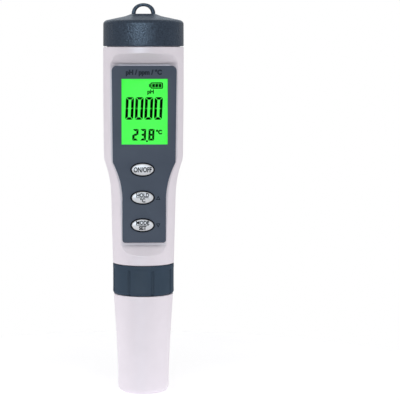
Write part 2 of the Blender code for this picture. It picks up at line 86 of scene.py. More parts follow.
def add_plain(name, shape):
    """Turns a bmesh in millimetres into an object with its faces outwards."""
    bmesh.ops.recalc_face_normals(shape, faces=shape.faces)
    bmesh.ops.scale(shape, vec=(MM, MM, MM), verts=shape.verts)
    mesh = bpy.data.meshes.new(name)
    shape.to_mesh(mesh)
    shape.free()
    plain = bpy.data.objects.new(name, mesh)
    bpy.context.scene.collection.objects.link(plain)
    return plain


def add_mesh(name, shape, body, material, replaces=(), sharp=30):
    """Turns a bmesh in millimetres into a smooth piece that rides on a CAD body."""
    piece = add_plain(name, shape)
    piece.data.materials.append(material)
    piece.data.shade_smooth()
    piece.data.set_sharp_from_angle(angle=math.radians(sharp))
    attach(piece, body)
    if replaces:
        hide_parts(*replaces)
    return piece


def loft(rows, closed=False):
    """Joins rings of points into quads; an end ring of one point closes that end."""
    shape = bmesh.new()
    rings = [[shape.verts.new(point) for point in row] for row in rows]
    pairs = list(zip(rings, rings[1:]))
    if closed:
        pairs.append((rings[-1], rings[0]))
    for upper, lower in pairs:
        count = max(len(upper), len(lower))
        for i in range(count):
            j = (i + 1) % count
            corners = [upper[i % len(upper)], upper[j % len(upper)],
                       lower[j % len(lower)], lower[i % len(lower)]]
            shape.faces.new(list(dict.fromkeys(corners)))
    return shape


def prism(rows):
    """Joins rings of points into quads and closes each end with one flat face."""
    shape = loft(rows)
    corners = list(shape.verts)
    count = len(rows[0])
    shape.faces.new(corners[:count])
    shape.faces.new(corners[-count:])
    return shape


def angles(start, end, steps):
    """Angles from start to end in equal steps, both ends included."""
    return [start + (end - start) * i / steps for i in range(steps + 1)]


def circle(radius, height, count=96, x=0.0, y=0.0):
    if radius == 0:
        return [Vector((x, y, height))]
    return [Vector((x + radius * math.cos(TAU * i / count), y + radius * math.sin(TAU * i / count),
                    height)) for i in range(count)]


def revolve(profile, count=96, x=0.0, y=0.0, closed=False):
    """A turned shape from (radius, height) points."""
    return loft([circle(radius, height, count, x, y) for radius, height in profile], closed)


def upright(outline, y):
    """An outline of (x, z) points as a ring at one depth."""
    return [Vector((x, y, z)) for x, z in outline]


def rounded(points, closed=False, steps=6):
    """Rounds the corners of an outline; each point is (a, b) or (a, b, corner radius)."""
    outline = []
    count = len(points)
    for i, point in enumerate(points):
        here = Vector(point[:2])
        radius = point[2] if len(point) > 2 else 0
        if radius == 0 or (not closed and i in (0, count - 1)):
            outline.append(here)
            continue
        before = (Vector(points[i - 1][:2]) - here).normalized()
        after = (Vector(points[(i + 1) % count][:2]) - here).normalized()
        half = before.angle(after) / 2
        reach = radius / math.tan(half)
        centre = here + (before + after).normalized() * radius / math.sin(half)
        start, end = here + before * reach - centre, here + after * reach - centre
        turn = start.angle_signed(end)
        for k in range(steps + 1):
            outline.append(centre + Matrix.Rotation(-turn * k / steps, 2) @ start)
    return [(p.x, p.y) for p in outline]


def rounded_rect(left, right, bottom, top, radius, steps=6):
    corners = [(left, bottom, radius), (left, top, radius), (right, top, radius),
               (right, bottom, radius)]
    return rounded(corners, closed=True, steps=steps)


def oval(half_width, half_height, x=0.0, z=0.0, count=72):
    return [(x + half_width * math.cos(TAU * i / count), z + half_height * math.sin(TAU * i / count))
            for i in range(count)]


def squared_off(value, power):
    """A sine or cosine pushed outwards, so that the oval it draws has squarer corners."""
    return math.copysign(abs(value) ** power, value)


def smooth_min(a, b, width):
    """The lower of a and b, with the crease between them rounded over width."""
    share = min(1, max(0, 0.5 + 0.5 * (b - a) / width))
    return b + (a - b) * share - width * share * (1 - share)


def cut(piece, cutter, operation="DIFFERENCE"):
    """Applies a Boolean to a piece and removes the cutter."""
    step = piece.modifiers.new("Cut", "BOOLEAN")
    step.operation = operation
    step.object = cutter
    bpy.context.view_layer.update()
    evaluated = piece.evaluated_get(bpy.context.evaluated_depsgraph_get())
    mesh = bpy.data.meshes.new_from_object(evaluated)
    piece.modifiers.remove(step)
    old = piece.data
    piece.data = mesh
    bpy.data.meshes.remove(old)
    bpy.data.objects.remove(cutter, do_unlink=True)


# ---------------------------------------------------------------- flat shapes and lettering

INK_THICKNESS = 0.03
CAPITAL_SHARE = 0.69          # height of a capital in the built-in font, as a share of its size
MERGE_DISTANCE = 0.0005


def flat_shape(name, outlines, back, front, body, material, edge=0.0, replaces=()):
    """Outlines of (x, z) points, later ones holes, made solid between two Y planes."""
    curve = bpy.data.curves.new(name, "CURVE")
    curve.dimensions = "2D"
    curve.fill_mode = "BOTH"
    curve.extrude = ((back - front) / 2 - edge) * MM
    curve.bevel_depth = edge * MM
    curve.bevel_resolution = 3
    curve.offset = -edge * MM
    for outline in outlines:
        spline = curve.splines.new("POLY")
        spline.points.add(len(outline) - 1)
        for point, (x, z) in zip(spline.points, outline):
            point.co = (x * MM, z * MM, 0, 1)
        spline.use_cyclic_u = True
    return mesh_of_curve(name, curve, (back + front) / 2, body, material, replaces)


def mesh_of_curve(name, curve, middle_y, body, material, replaces=()):
    """The mesh of a flat curve or text, stood up to face -Y at a depth."""
    drawn = bpy.data.objects.new(name + "_drawn", curve)
    bpy.context.scene.collection.objects.link(drawn)
    bpy.context.view_layer.update()
    evaluated = drawn.evaluated_get(bpy.context.evaluated_depsgraph_get())
    mesh = bpy.data.meshes.new_from_object(evaluated)
    bpy.data.objects.remove(drawn, do_unlink=True)
    mesh.transform(Matrix.Translation((0, middle_y * MM, 0)) @ Matrix.Rotation(TAU / 4, 4, "X"))
    shape = bmesh.new()
    shape.from_mesh(mesh)
    bpy.data.meshes.remove(mesh)
    bmesh.ops.remove_doubles(shape, verts=shape.verts, dist=MERGE_DISTANCE * MM)
    bmesh.ops.scale(shape, vec=(1 / MM,) * 3, verts=shape.verts)
    return add_mesh(name, shape, body, material, replaces)


def lettering(name, words, x, z, height, front, body, material, weight, narrow=1.0):
    """Printed words centred on a point, a hair proud of the surface at front."""
    text = bpy.data.curves.new(name, "FONT")
    text.body = words
    text.size = height * MM / CAPITAL_SHARE
    text.align_x = "CENTER"
    text.align_y = "CENTER"
    text.extrude = INK_THICKNESS / 2 * MM
    text.offset = weight * MM
    piece = mesh_of_curve(name, text, 0, body, material)
    low = min(corner[2] for corner in piece.bound_box)
    high = max(corner[2] for corner in piece.bound_box)
    place = Matrix.Translation((x * MM, (front - INK_THICKNESS / 2) * MM, z * MM - (low + high) / 2))
    piece.data.transform(place @ Matrix.Diagonal((narrow, 1, 1, 1)))


# ---------------------------------------------------------------- material tools

NOISE_LOW, NOISE_HIGH = 0.3, 0.7      # most of a noise texture's values lie between these


def linear(red, green, blue):
    """An 8-bit display colour as linear values."""
    return [(v / 255 / 12.92) if v <= 10 else ((v / 255 + 0.055) / 1.055) ** 2.4
            for v in (red, green, blue)]


def tones(red, green, blue, spread):
    """A darker and a lighter version of a colour, each by a share."""
    base = linear(red, green, blue)
    return [v * (1 - spread) for v in base], [min(1, v * (1 + spread)) for v in base]


class Finish:
    """A Principled material with a few procedural layers on it."""

    def __init__(self, name, roughness, metallic=0.0, specular=0.5, **sockets):
        self.material = bpy.data.materials.new(name)
        self.material.use_nodes = True
        self.nodes = self.material.node_tree.nodes
        self.links = self.material.node_tree.links
        self.shader = self.nodes["Principled BSDF"]
        self.set("Roughness", roughness)
        self.set("Metallic", metallic)
        self.set("Specular IOR Level", specular)
        for socket, value in sockets.items():
            self.set(socket.replace("_", " "), value)
        self.place = self.nodes.new("ShaderNodeTexCoord")

    def set(self, socket, value):
        self.shader.inputs[socket].default_value = value

    def noise(self, scale, detail):
        """Noise with its size in cells per millimetre."""
        mapping = self.nodes.new("ShaderNodeMapping")
        mapping.inputs["Scale"].default_value = (1 / MM,) * 3
        noise = self.nodes.new("ShaderNodeTexNoise")
        noise.inputs["Scale"].default_value = scale
        noise.inputs["Detail"].default_value = detail
        self.links.new(self.place.outputs["Object"], mapping.inputs["Vector"])
        self.links.new(mapping.outputs["Vector"], noise.inputs["Vector"])
        return noise.outputs["Fac"]

    def colour(self, dark, light, amount, low=NOISE_LOW, high=NOISE_HIGH):
        """Base colour between two tones, following a texture."""
        ramp = self.nodes.new("ShaderNodeValToRGB")
        for stop, position, tone in zip(ramp.color_ramp.elements, (low, high), (dark, light)):
            stop.position = position
            stop.color = (*tone, 1)
        self.links.new(amount, ramp.inputs["Fac"])
        self.links.new(ramp.outputs["Color"], self.shader.inputs["Base Color"])

    def gloss(self, smooth, rough, amount):
        """Roughness between two values, following a texture."""
        spread = self.nodes.new("ShaderNodeMapRange")
        spread.inputs["From Min"].default_value = NOISE_LOW
        spread.inputs["From Max"].default_value = NOISE_HIGH
        spread.inputs["To Min"].default_value = smooth
        spread.inputs["To Max"].default_value = rough
        self.links.new(amount, spread.inputs["Value"])
        self.links.new(spread.outputs["Result"], self.shader.inputs["Roughness"])

    def bump(self, height, depth):
        """Surface relief of a depth in millimetres."""
        bump = self.nodes.new("ShaderNodeBump")
        bump.inputs["Distance"].default_value = depth * MM
        bump.inputs["Strength"].default_value = 1.0
        self.links.new(height, bump.inputs["Height"])
        self.links.new(bump.outputs["Normal"], self.shader.inputs["Normal"])


def moulded(name, colour, roughness, grain=4.0, relief=0.02, spread=0.04, specular=0.5):
    """Moulded plastic: fine spark-eroded grain, faint clouding and uneven gloss."""
    finish = Finish(name, roughness, specular=specular)
    cloud = finish.noise(0.12, 2.0)
    fine = finish.noise(grain, 2.0)
    finish.colour(*tones(*colour, spread), cloud)
    finish.gloss(roughness - 0.05, roughness + 0.06, fine)
    finish.bump(fine, relief)
    return finish.material


def frosted(name, colour, roughness, specular):
    """Coarse frosted plastic: visible pale and dark grains as well as relief."""
    finish = Finish(name, roughness, specular=specular, Specular_Tint=(0.72, 0.86, 1.0, 1))
    grain = finish.noise(1.5, 3.0)
    finish.colour(*tones(*colour, 0.2), grain, 0.35, 0.65)
    finish.gloss(roughness - 0.07, roughness + 0.07, grain)
    finish.bump(grain, 0.3)
    return finish.material


def metal(name, colour, roughness):
    """Plated metal: a fine, even scatter of duller spots."""
    finish = Finish(name, roughness, metallic=1.0)
    scatter = finish.noise(6.0, 3.0)
    finish.colour(*tones(*colour, 0.08), scatter)
    finish.gloss(roughness - 0.08, roughness + 0.1, scatter)
    finish.bump(scatter, 0.004)
    return finish.material


def glowing(name, colour, glow):
    """The lit display: an even glow over a dimmer, faintly mottled face."""
    finish = Finish(name, 0.5, specular=0.1, Emission_Strength=glow)
    mottle = finish.noise(0.08, 1.0)
    finish.colour(*tones(*(v * 0.3 for v in colour), 0.1), mottle)
    finish.set("Emission Color", (*linear(*colour), 1))
    return finish.material


def clear(name, tint, roughness, index):
    """Clear plastic or glass with faint smears."""
    finish = Finish(name, roughness, Transmission_Weight=1.0, IOR=index)
    smear = finish.noise(0.2, 2.0)
    finish.colour(*tones(*tint, 0.02), smear)
    finish.gloss(roughness, roughness + 0.03, smear)
    return finish.material


WHITE = moulded("white_plastic", (237, 230, 238), 0.45, spread=0.015, specular=0.3)
SLATE = frosted("slate_plastic", (56, 66, 80), 0.33, 0.18)
NUT = moulded("nut_plastic", (60, 74, 89), 0.5, grain=5.0, relief=0.012, specular=0.04)
PANEL = moulded("panel_plastic", (80, 89, 104), 0.55, grain=6.0, relief=0.008, spread=0.03,
                specular=0.05)
# Near-black rims round the keys: painted shade, standing in for the shadow in the gap round each key.
GAP_SHADE_RING = moulded("key_rim_painted_gap_shade", (22, 26, 34), 0.6, grain=6.0, relief=0.008, specular=0.05)
KEY = moulded("key_plastic", (222, 223, 227), 0.4, grain=6.0, relief=0.006)
INK = moulded("dark_ink", (28, 37, 49), 0.7, grain=8.0, relief=0.004, specular=0.1)
KEY_INK = moulded("key_ink", (24, 26, 30), 0.7, grain=8.0, relief=0.004, specular=0.1)
SEGMENT = moulded("display_segment", (2, 10, 3), 0.7, grain=8.0, relief=0.002, specular=0.0)
DISPLAY = glowing("display_green", (70, 249, 75), 0.97)
LENS = clear("window_lens", (250, 254, 250), 0.0, 1.08)   # its low index keeps the haze off the display
NATURAL = moulded("natural_plastic", (214, 214, 209), 0.45)
GUARD = moulded("guard_plastic", (52, 58, 66), 0.45)
BLACK = moulded("black_plastic", (22, 22, 24), 0.5)
RUBBER = moulded("seal_rubber", (20, 20, 21), 0.7, grain=3.0, relief=0.01)
BOARD = moulded("solder_mask", (18, 82, 44), 0.35, grain=1.2, relief=0.03, spread=0.2)
STEEL = metal("nickel_steel", (176, 178, 181), 0.28)
GOLD = metal("gold_contact", (206, 166, 92), 0.25)
BULB = clear("sensor_glass", (226, 240, 246), 0.02, 1.46)
CERAMIC = moulded("white_ceramic", (230, 225, 212), 0.75, grain=3.0, relief=0.05)


# ---------------------------------------------------------------- body shell

WAIST_LOW = 92.0
WAIST_HIGH = 110.4
BOTTOM_R = 14.4
GRIP_R = 15.15
WAIST_R = 18.6
FACE_TOP = PLATE_HIGH.z + 0.6
FACE_BOTTOM = PLATE_LOW.z - 1.25
FRONT_COS = 0.2              # the face cuts the skin only where the cosine of its angle is above this
# How far each ramp runs forward, how tall it is on the centre line, and how much taller it
# has become at a distance to the side, with the power that it grows by.
TOP_RAMP = (9.25, 5.5, 2.8, 10.3, 3.4)
LOW_RAMP = (4.96, 5.7, 3.0, 7.9, 4)
TOP_LIP = 0.35
SIDE_LIP = 0.3
BEAD = (0.2, 0.6)            # height and half width of the bead along the lower lip
WALL = 2.0
WALL_CUT = (-16, -6)         # front and back of what cuts the holes through the front wall
NECK_R, NECK_BORE = 17.0, 15.2
TAIL_R, TAIL_BORE, TAIL_FLOOR = 12.9, 10.9, 63.6
SEAL_GROOVE = (16.0, 163.4, 165.0)    # radius, bottom and top of the groove for the neck's seal
CEILING = 160.6              # where the room inside starts to close in to the neck's bore
NECK_THREAD = (165.9, 170.2, 3.2)     # lowest, highest and lead of the raised threads
TAIL_THREAD = (52.2, 60.2, 3.4)
THREAD_SIZE = 0.26


def plain_radius(height):
    """Outer radius as in the CAD: a tapered grip that widens into the head in one sweep."""
    grip = BOTTOM_R + (GRIP_R - BOTTOM_R) * (height - BODY_BOTTOM) / (WAIST_LOW - BODY_BOTTOM)
    if height <= WAIST_LOW:
        return grip
    head = WAIST_R + (HEAD_R - WAIST_R) * min(1, (height - WAIST_HIGH) / 25)
    if height >= WAIST_HIGH:
        return head
    sweep = (height - WAIST_LOW) / (WAIST_HIGH - WAIST_LOW)
    return grip + (WAIST_R - grip) * sweep ** 2.4


def body_radius(height):
    """The same with the corner under the head rounded off."""
    return sum(plain_radius(height + step * 0.7) for step in range(-2, 3)) / 5


def ramp_depth(ramp, climbed, x):
    """How far forward a ramp has come at a height above its foot, x from the centre line."""
    run, rise, growth, at, power = ramp
    return run * climbed / (rise + growth * (abs(x) / at) ** power)


def face_depth(height, x):
    """Distance of the flat face in front of the axis, with the ramps above and below it."""
    if height > FACE_TOP:
        return -FACE_Y + ramp_depth(TOP_RAMP, height - FACE_TOP, x)
    if height < FACE_BOTTOM:
        return -FACE_Y + ramp_depth(LOW_RAMP, FACE_BOTTOM - height, x)
    return -FACE_Y


def skin_radius(angle, height):
    """Radius of the outer skin at an angle from straight ahead (-Y)."""
    radius = body_radius(height)
    if math.cos(angle) < FRONT_COS:
        return radius
    cut_radius = radius
    for _ in range(6):       # a ramp's depth and the place where it cuts depend on each other
        x = min(radius, cut_radius) * math.sin(angle)
        cut_radius = face_depth(height, x) / math.cos(angle)
    if height > FACE_TOP:
        return smooth_min(radius, cut_radius, TOP_LIP)
    lip = smooth_min(radius, cut_radius, SIDE_LIP)
    if height >= FACE_BOTTOM:
        return lip
    bead_height, bead_half = BEAD
    return lip + bead_height * max(0, 1 - (abs(radius - cut_radius) / bead_half) ** 2)


def room_radius(angle, height):
    """Radius of the room inside the shell, flat behind the face."""
    radius = plain_radius(height) - WALL
    if math.cos(angle) < FRONT_COS:
        return radius
    return smooth_min(radius, (-FACE_Y - WALL) / math.cos(angle), 0.4)


def columns(height):
    """Angles round the body, packed closely at both edges of the flat face."""
    edge = math.acos(-FACE_Y / body_radius(min(max(height, BODY_BOTTOM), BODY_TOP)))
    inner = [i / 26 for i in range(23)] + [0.9 + 0.1 * i / 8 for i in range(8)]
    right = [edge * share for share in inner] + angles(edge, edge + 0.18, 8)
    right += angles(right[-1], math.pi, 26)[1:]
    return right + [-a for a in reversed(right[1:-1])]


def around(height, radius_of):
    """A ring of points at a height, its radius given by angle."""
    ring = []
    for angle in columns(height):
        radius = radius_of(angle)
        ring.append(Vector((radius * math.sin(angle), -radius * math.cos(angle), height)))
    return ring


def turned(*profile):
    """Rings of one radius each, with points at the same angles as the skin's."""
    return [around(height, lambda angle, r=radius: r) for radius, height in profile]


def down(start, pitch, count):
    """Heights from a start downwards in equal steps."""
    return [start - pitch * i for i in range(count)]


def skin_heights():
    """Rows down the skin, close together at the ramps and at the waist."""
    low = FACE_BOTTOM - 7.0
    rows = [BODY_TOP - 0.35, BODY_TOP - 0.9]
    rows += down(FACE_TOP + 6.6, 0.22, 31)
    rows += down(FACE_TOP - 5, 5, 7)
    rows += down(FACE_TOP - 36, 0.75, 44)
    rows += down(WAIST_LOW - 6, 2.5, 6)
    rows += down(FACE_BOTTOM + 0.3, 0.25, 30)
    rows += [low - (low - BODY_BOTTOM - 0.6) * i / 4 for i in range(1, 5)]
    return sorted(set(round(z, 4) for z in rows if BODY_BOTTOM + 0.3 < z < BODY_TOP), reverse=True)


def make_shell():
    """Neck, skin, tail and inside as one mesh, with a window for the display and holes for the keys."""
    neck_top, tail_low, edge = BODY_HIGH.z, BODY_LOW.z, body_radius(BODY_BOTTOM)
    groove_r, groove_low, groove_top = SEAL_GROOVE
    neck = rounded([(NECK_BORE, neck_top - 2), (NECK_BORE, neck_top, 0.4), (NECK_R, neck_top, 0.4),
                    (NECK_R, groove_top + 0.2)], steps=3)
    groove = [(NECK_R, groove_top + 0.1), (groove_r, groove_top), (groove_r, groove_low),
              (NECK_R, groove_low - 0.1), (NECK_R, BODY_TOP + 0.2)]
    shoulder = [(NECK_R + 0.2, BODY_TOP), (HEAD_R - 0.35, BODY_TOP), (HEAD_R - 0.1, BODY_TOP - 0.1)]
    rows = turned(*neck, *groove, *shoulder)
    for height in skin_heights():
        rows.append(around(height, lambda angle, z=height: skin_radius(angle, z)))
    rows += turned((edge - 0.06, BODY_BOTTOM + 0.12), (edge - 0.3, BODY_BOTTOM), (TAIL_R, BODY_BOTTOM))
    rows += turned(*rounded([(TAIL_R, BODY_BOTTOM - 1), (TAIL_R, tail_low, 0.4),
                             (TAIL_BORE, tail_low, 0.3), (TAIL_BORE, tail_low + 2)], steps=3))
    rows += turned((TAIL_BORE, TAIL_FLOOR))
    for height in (TAIL_FLOOR + 0.1, 80, WAIST_LOW, 97, 101, 105, WAIST_HIGH, 130, 158.5, CEILING):
        rows.append(around(height, lambda angle, z=height: room_radius(angle, z)))
    rows.append(around(CEILING + 1, lambda angle: min(room_radius(angle, CEILING), NECK_BORE)))
    rows += turned((NECK_BORE, CEILING + 1.3))
    shell = add_mesh("shell", loft(rows, closed=True), "meter_body", WHITE, ["body_shell"],
                     40)
    low, high = span("lcd_frame")
    cut(shell, flat_cutter(rounded_rect(low.x - GAP, high.x + GAP, low.z - GAP, high.z + GAP, 0.8)))
    for middle in KEY_Z.values():
        cut(shell, flat_cutter(key_oval(KEY_HOLE, middle)))


def flat_cutter(outline):
    """A block through the front wall in the shape of an outline."""
    return add_plain("cutter", prism([upright(outline, y) for y in WALL_CUT]))


def make_threads():
    """Raised threads on the neck and the tail, seen when the cap or the collar is off."""
    helix("neck_thread", NECK_R, *NECK_THREAD)
    helix("tail_thread", TAIL_R, *TAIL_THREAD)


def helix(name, radius, low, high, lead):
    """A raised thread that swells up from nothing at both of its ends."""
    count = int((high - low) / lead * 72)
    rows = []
    for i in range(count + 1):
        share = i / count
        turn = TAU * (high - low) * share / lead
        swell = THREAD_SIZE * min(1, 8 * share, 8 * (1 - share)) + 0.01
        out = Vector((math.cos(turn), math.sin(turn), 0))
        middle = out * (radius - 0.02) + Vector((0, 0, low + (high - low) * share))
        rows.append([middle + out * swell * math.cos(TAU * k / 8) +
                     Vector((0, 0, 1.6 * swell * math.sin(TAU * k / 8))) for k in range(8)])
    add_mesh(name, prism(rows), "meter_body", WHITE)


# ---------------------------------------------------------------- battery cap

LID_CREST = 178.15
LID_SHOULDER = 173.35
LID_CORNER = (2.56, 2.03)    # width and height of the oval shoulder
LID_BORE = 17.35
LID_CEILING = 175.3
LOOP_HALF = 5.55
LOOP_LEG = 1.95
LOOP_BAR = 1.5
LOOP_DEPTH = 1.55            # from the middle to the front
LOOP_CORNERS = 24


def make_lid():
    """Cap with a shallow conical crown, a rounded shoulder and a straight skirt."""
    low, radius = LID_LOW.z, LID_HIGH.x - 0.05
    wide, tall = LID_CORNER
    shoulder = [(radius - wide + wide * math.sin(a), LID_SHOULDER + tall * math.cos(a))
                for a in angles(math.radians(15), TAU / 4, 14)]
    crown = rounded([(0, LID_CREST), (5.7, LID_CREST, 1.2), (8.4, 177.12, 5), shoulder[0]], steps=8)
    skirt = rounded([(radius, LID_SHOULDER), (radius + 0.05, low, 0.35), (radius - 1.2, low)])
    inside = [(LID_BORE, low + 0.45), (LID_BORE, 171.8), (10.0, LID_CEILING), (0, LID_CEILING)]
    shape = revolve(crown[:-1] + shoulder + skirt + inside, 144)
    lid = add_mesh("battery_cap_shell", shape, "lid", SLATE, ["battery_cap"], 40)
    cut(lid, loop_mesh(), "UNION")


def arch(half_width, height):
    """A squared-off half ellipse standing on the crest, left foot to right foot."""
    return [(half_width * squared_off(math.cos(a), 0.94), LID_CREST + height * squared_off(math.sin(a), 0.94))
            for a in angles(math.pi, 0, 28)]


def loop_mesh():
    """The cord loop: a flat arch with rounded edges, its feet sunk in the dome."""
    height = LID_HIGH.z - LID_CREST
    outer = arch(LOOP_HALF, height)
    inner = arch(LOOP_HALF - LOOP_LEG, height - LOOP_BAR)
    sections = [(Vector((ox, 0, oz)), Vector((ix, 0, iz))) for (ox, oz), (ix, iz) in zip(outer, inner)]
    foot = Vector((0, 0, -2.4))
    feet = [[corner + foot for corner in sections[end]] for end in (0, -1)]
    rows = []
    for a, b in [feet[0], *sections, feet[1]]:
        middle, half = (a + b) / 2, (a - b) / 2
        rows.append([middle + half * squared_off(math.cos(TAU * k / LOOP_CORNERS), 0.55) +
                     Vector((0, LOOP_DEPTH * squared_off(math.sin(TAU * k / LOOP_CORNERS), 0.55), 0))
                     for k in range(LOOP_CORNERS)])
    loop = add_plain("loop", prism(rows))
    loop.data.materials.append(SLATE)
    loop.data.shade_smooth()
    return loop


# ---------------------------------------------------------------- collar and cover

GROOVES = 8
GROOVE_PHASE = -74.5         # degrees from +X to the first groove
GROOVE_DEPTH = 0.65
GROOVE_HALF = 0.8            # half its width
RIM_TALL = 1.9               # the plain rim above the grooves
NUT_BORE, NUT_SHELF, NUT_THREAD_R = 11.25, 49.0, 13.25
COVER_R_LOW = 12.05
FOOT_R = 9.8
FOOT_TALL = 3.0


def groove_depth(drop, turn, radius):
    """How deep the grooves are at a drop below the collar's top and an angle round it."""
    away = (turn - math.radians(GROOVE_PHASE)) % (TAU / GROOVES)
    away = min(away, TAU / GROOVES - away) * radius
    run_in = min(1, max(0, drop - RIM_TALL - 0.1) / 0.5)
    return GROOVE_DEPTH * run_in * max(0, 1 - (away / GROOVE_HALF) ** 2) ** 0.5


def make_collar():
    """Ring nut: a thin plain rim on top, rounded grooves down the side."""
    top, low, radius = NUT_HIGH.z, NUT_LOW.z, NUT_HIGH.x
    rim = rounded([(radius - 0.5, top), (radius, top, 0.3), (radius, top - RIM_TALL)])
    side = [(radius - 0.06, top - drop) for drop in (2.1, 2.3, 2.6, 3.0, 5, 8, 11)]
    foot = rounded([rim[-1], (radius, low + 0.9, 0.7), (radius - 0.4, low, 0.3), (radius - 2, low)])
    inside = rounded([(NUT_BORE + 0.05, low), (NUT_BORE, low + 0.3), (NUT_BORE, NUT_SHELF),
                      (NUT_THREAD_R, NUT_SHELF), (NUT_THREAD_R, top - 0.3)])
    count = GROOVES * 40
    rows = []
    for r, z in [(NUT_THREAD_R + 0.05, top), *rim, *side, *foot[1:]]:
        ring = circle(r, z, count)
        if r > radius - 0.4:
            for i, point in enumerate(ring):
                point.xy *= 1 - groove_depth(top - z, TAU * i / count, radius) / r
        rows.append(ring)
    rows += [circle(r, z, count) for r, z in inside]
    add_mesh("ring_nut_shell", loft(rows, closed=True), "ring_nut", NUT, ["collar"], 40)


def cover_radius(height):
    """A straight lower part that flares to the rim."""
    flare_low, top = 8, COVER_HIGH.z
    share = max(0, height - flare_low) / (top - flare_low)
    return COVER_R_LOW + (COVER_HIGH.x - COVER_R_LOW) * share ** 1.25


def make_cover():
    """Push-on cover: smooth flare, rounded foot, rolled rim."""
    top, low = COVER_HIGH.z, COVER_LOW.z
    foot = [(FOOT_R + (COVER_R_LOW - FOOT_R) * math.sin(a), FOOT_TALL - FOOT_TALL * math.cos(a))
            for a in angles(0, TAU / 4, 10)]
    side = [(cover_radius(z), z) for z in down(top - 1.4, 2.2, 18) if z > 5]
    rim = rounded([(11.4, top - 1.2), (11.4, top, 0.35), (cover_radius(top), top, 0.3), side[0]],
                  steps=5)
    inside = [(0, FOOT_TALL), *rounded([(9.0, FOOT_TALL), (10.9, FOOT_TALL, 1.6), (11.1, 8.0)])]
    shape = revolve(inside + rim + side + foot[::-1] + [(0, low)], 120)
    add_mesh("cover_shell", shape, "cover", WHITE, ["protective_cap"], 40)


# ---------------------------------------------------------------- panel, keys and print

KEY_HALF = 5.0               # half widths of the key, its rim's inside and outside, and its hole
KEY_RIM = (5.1, 5.65)
KEY_HOLE = 5.35
KEY_SQUASH = 2.35            # how much less half the height of a key's ovals is
KEY_BACK = -7.5
KEY_RIM_BACK = -10.6
KEY_EDGE = (0.55, 0.4)       # width and depth of the rounding at a key's edge
KEY_WORDS = {"power": ["ON/OFF"], "hold": ["HOLD", "°C"], "mode": ["MODE", "SET"]}
WORD_RISE = 1.2              # from a key's middle to the middle of either of two lines
ARROW_X = 6.5


def key_oval(half_width, z):
    return oval(half_width, half_width - KEY_SQUASH, KEY_X, z)


def plate_outline():
    """Wide head, shoulders with a sweep in to the narrow grip, rounded corners."""
    top, bottom = PLATE_HIGH.z, PLATE_LOW.z
    wide, head, grip = PLATE_HIGH.x, 14.6, 10.15
    shoulder, sweep = 109.4, 17.4
    corner = rounded([(0, top), (wide, top, 2.3), (head, shoulder + 2)], steps=10)[1:-1]
    side = [(head, shoulder + 1.2)]
    for i in range(25):
        t = i / 24
        side.append((grip + (head - grip) * (1 - t) ** 2, shoulder - sweep * t))
    side[1:2] = rounded([side[0], (*side[1], 1.2), side[2]], steps=4)[1:-1]
    foot = rounded([(grip, bottom + 4), (grip, bottom, 1.3), (0, bottom)], steps=8)[1:-1]
    right = corner + side + foot
    return right + [(-x, z) for x, z in reversed(right)]


def make_panel():
    """The keypad plate with its holes, and the clear window in the upper one."""
    window = rounded_rect(LENS_LOW.x - GAP, LENS_HIGH.x + GAP, LENS_LOW.z - GAP, LENS_HIGH.z + GAP, 0.15)
    key_holes = [key_oval(KEY_RIM[1], z) for z in KEY_Z.values()]
    flat_shape("keypad_plate", [plate_outline(), window, *key_holes], PLATE_BACK, PLATE_FRONT,
               "meter_body", PANEL, 0.22, ["front_panel"])
    lens = rounded_rect(LENS_LOW.x, LENS_HIGH.x, LENS_LOW.z, LENS_HIGH.z, 0.12)
    flat_shape("window_lens", [lens], LENS_HIGH.y, LENS_LOW.y, "meter_body", LENS, 0.1,
               ["display_window"])


def make_key(name):
    """Pillowed oval key in a raised oval rim; the rim's near-black colour is painted shade of the gap round
    the key.
    """
    z, front = KEY_Z[name], KEY_FRONT[name]
    wide, deep = KEY_EDGE
    levels = [(1.6, KEY_BACK), (0, KEY_BACK), (0, front + 0.55)]
    levels += [(wide * (1 - math.cos(a)), front + 0.55 - deep * math.sin(a))
               for a in angles(0, TAU / 4, 6)[1:]]
    levels += [(1.1, front + 0.08), (1.7, front + 0.02), (2.3, front)]
    rows = [upright(key_oval(KEY_HALF - inset, z), y) for inset, y in levels]
    rows = [upright([(KEY_X, z)], KEY_BACK), *rows, upright([(KEY_X, z)], front)]
    add_mesh(name + "_keytop", loft(rows), name + "_button", KEY, [name + "_key"], 40)
    inner, outer = KEY_RIM
    edge, face = PLATE_FRONT + 0.15, PLATE_FRONT - 0.02
    section = [(inner, KEY_RIM_BACK), (inner, edge), (inner + 0.12, face),
               (outer - 0.12, face), (outer, edge), (outer, KEY_RIM_BACK)]
    rows = [upright(key_oval(half, z), y) for half, y in section]
    # The rim is a real raised ring; its near-black colour is painted gap shade.
    add_mesh(name + "_gap_shade_rim", loft(rows, closed=True), "meter_body", GAP_SHADE_RING)


def make_key_print(name):
    """The function word on a key, in one line or in two with a rule between them."""
    z, front, body = KEY_Z[name], KEY_FRONT[name], name + "_button"
    lines = KEY_WORDS[name]
    if len(lines) == 1:
        lettering(name + "_print", lines[0], KEY_X, z, 2.15, front, body, KEY_INK, 0.1, 0.74)
        return
    for place, words, way, height, narrow in (("upper", lines[0], 1, 1.75, 0.85),
                                              ("lower", lines[1], -1, 1.7, 0.9)):
        lettering("%s_print_%s" % (name, place), words, KEY_X, z + WORD_RISE * way, height, front, body,
                  KEY_INK, 0.09, narrow)
    rule = rounded_rect(KEY_X - 2.9, KEY_X + 2.9, z - 0.1, z + 0.1, 0.05, 2)
    flat_shape(name + "_print_line", [rule], front, front - INK_THICKNESS, body, KEY_INK)


def triangle(z, half_width, foot, tip, way):
    """A triangle beside a key that points up (way 1) or down (way -1)."""
    return [(ARROW_X - half_width, z - foot * way), (ARROW_X, z + tip * way),
            (ARROW_X + half_width, z - foot * way)]


